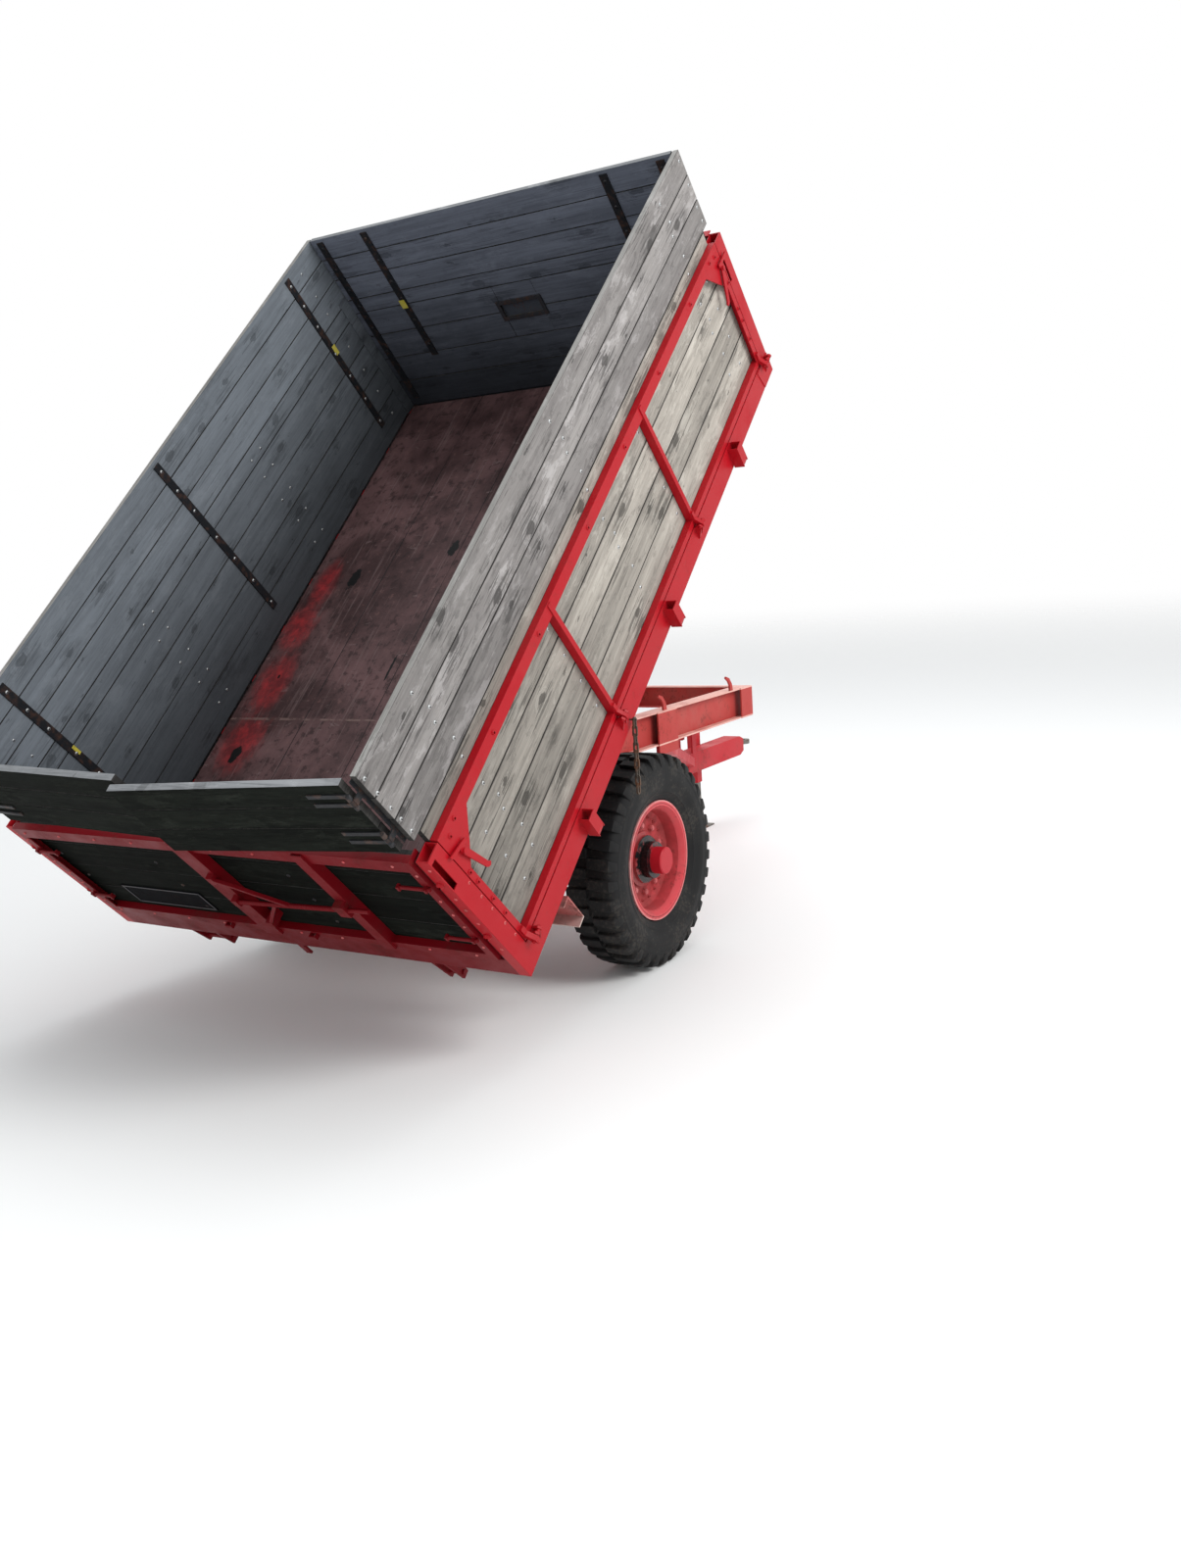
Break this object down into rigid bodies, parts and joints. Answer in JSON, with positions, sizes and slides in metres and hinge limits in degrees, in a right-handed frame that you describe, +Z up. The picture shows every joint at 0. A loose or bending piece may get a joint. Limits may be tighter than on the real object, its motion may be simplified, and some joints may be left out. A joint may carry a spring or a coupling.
{
  "type": "farm tipping trailer",
  "caption": "Single-axle farm tipping trailer with a raised plank-sided steel-framed bed, drop sides, tailgate, rear extension leaves and a telescopic ram.",
  "frame": {"origin": "on the ground at the centre of the whole trailer's footprint, 641 mm ahead of the axle", "axes": "+X forward to the towing eye, +Y to the trailer's left, +Z up"},
  "size_m": [5.7789, 2.574, 3.8922],
  "materials": {
    "chassis_paint": "faded, chalky",
    "bed_paint": "semi-gloss",
    "wheel_paint": "faded",
    "drawbar_paint": "semi-gloss",
    "tyre": "matt",
    "side_wood": "weathered",
    "extension_wood": "weathered grey",
    "dark_wood": "weathered",
    "inner_wood": "weathered",
    "floor_steel": "rusted",
    "bare_steel": "dull",
    "cast": "greasy",
    "ram_steel": "oiled",
    "plate": "matt"
  },
  "bodies": {
    "chassis": {"beam_right": "chassis_paint", "beam_left": "chassis_paint", "cross_members": "chassis_paint", "tip_pivot": "chassis_paint", "axle_beam": "cast", "leaf_springs": "cast", "drawbar": "drawbar_paint", "towing_eye": "bare_steel", "stand_tube": "drawbar_paint", "stand_leg": "bare_steel"},
    "wheel_right": {"tyre_right": "tyre", "rim_right": "wheel_paint", "hub_right": "wheel_paint"},
    "wheel_left": {"tyre_left": "tyre", "rim_left": "wheel_paint", "hub_left": "wheel_paint"},
    "barrel": {"ram_barrel": "chassis_paint"},
    "stage_1": {"ram_stage_1": "ram_steel"},
    "stage_2": {"ram_stage_2": "ram_steel"},
    "rod": {"ram_rod": "ram_steel"},
    "bed": {"bed_underframe": "bed_paint", "ram_cup": "bed_paint", "floor_sheet": "floor_steel", "side_rail_right": "bed_paint", "side_rail_left": "bed_paint", "rear_sill": "bed_paint", "corner_posts": "bed_paint", "front_boards": "inner_wood", "front_extension": "inner_wood", "front_frame": "bed_paint", "front_hatch": "bare_steel", "rear_under_beam": "bed_paint", "keeper_chain": "bare_steel"},
    "side_gate_right": {"side_boards_right": "side_wood", "side_extension_right": "extension_wood", "side_frame_right": "bed_paint"},
    "side_gate_left": {"side_boards_left": "side_wood", "side_extension_left": "extension_wood", "side_frame_left": "bed_paint"},
    "tailgate": {"tailgate_boards": "dark_wood", "tailgate_frame": "bed_paint", "tailgate_latch": "bed_paint", "blank_plate": "plate"},
    "leaf_right": {"rear_leaf_right": "dark_wood"},
    "leaf_left": {"rear_leaf_left": "dark_wood"}
  },
  "joints": [
    {"name": "bed_tip", "type": "hinge", "parent": "chassis", "child": "bed", "pos_m": [-1.0256, 0, 1.038], "axis": [0, 1, 0], "range_deg": [0, 43.7]},
    {"name": "wheel_right_spin", "type": "hinge", "parent": "chassis", "child": "wheel_right", "pos_m": [-0.6406, -1.045, 0.527], "axis": [0, 1, 0], "continuous": true},
    {"name": "wheel_left_spin", "type": "hinge", "parent": "chassis", "child": "wheel_left", "pos_m": [-0.6406, 1.045, 0.527], "axis": [0, 1, 0], "continuous": true},
    {"name": "ram_swing", "type": "hinge", "parent": "chassis", "child": "barrel", "pos_m": [0.41029, 0, 0.8362], "axis": [0, 1, 0], "range_deg": [0, 21.85]},
    {"name": "ram_stage_1_slide", "type": "slide", "parent": "barrel", "child": "stage_1", "axis": [-0.3396, 0, 0.9406], "range_m": [-0.35054, 0]},
    {"name": "ram_stage_2_slide", "type": "slide", "parent": "stage_1", "child": "stage_2", "axis": [-0.3396, 0, 0.9406], "range_m": [-0.35054, 0]},
    {"name": "ram_rod_slide", "type": "slide", "parent": "stage_2", "child": "rod", "axis": [-0.3396, 0, 0.9406], "range_m": [-0.35054, 0]},
    {"name": "side_gate_right_drop", "type": "hinge", "parent": "bed", "child": "side_gate_right", "pos_m": [-1.98819, -1.262, 0.44733], "axis": [0.723, 0, 0.6909], "range_deg": [0, 90]},
    {"name": "side_gate_left_drop", "type": "hinge", "parent": "bed", "child": "side_gate_left", "pos_m": [-1.98819, 1.262, 0.44733], "axis": [-0.723, 0, -0.6909], "range_deg": [0, 90]},
    {"name": "tailgate_swing", "type": "hinge", "parent": "bed", "child": "tailgate", "pos_m": [-2.35196, 0, 0.84247], "axis": [0, 1, 0], "range_deg": [0, 80]},
    {"name": "leaf_right_swing", "type": "hinge", "parent": "side_gate_right", "child": "leaf_right", "pos_m": [-2.61345, -1.15, 1.06979], "axis": [-0.6909, 0, 0.723], "range_deg": [-4, 100]},
    {"name": "leaf_left_swing", "type": "hinge", "parent": "side_gate_left", "child": "leaf_left", "pos_m": [-2.61345, 1.15, 1.06979], "axis": [0.6909, 0, -0.723], "range_deg": [-1.5, 100]}
  ],
  "couplings": [
    {"joint": "ram_swing", "follows": "bed_tip", "ratio": 0.5},
    {"joint": "ram_stage_1_slide", "follows": "bed_tip", "m_per_rad": -0.4596},
    {"joint": "ram_stage_2_slide", "follows": "bed_tip", "m_per_rad": -0.4596},
    {"joint": "ram_rod_slide", "follows": "bed_tip", "m_per_rad": -0.4596}
  ]
}
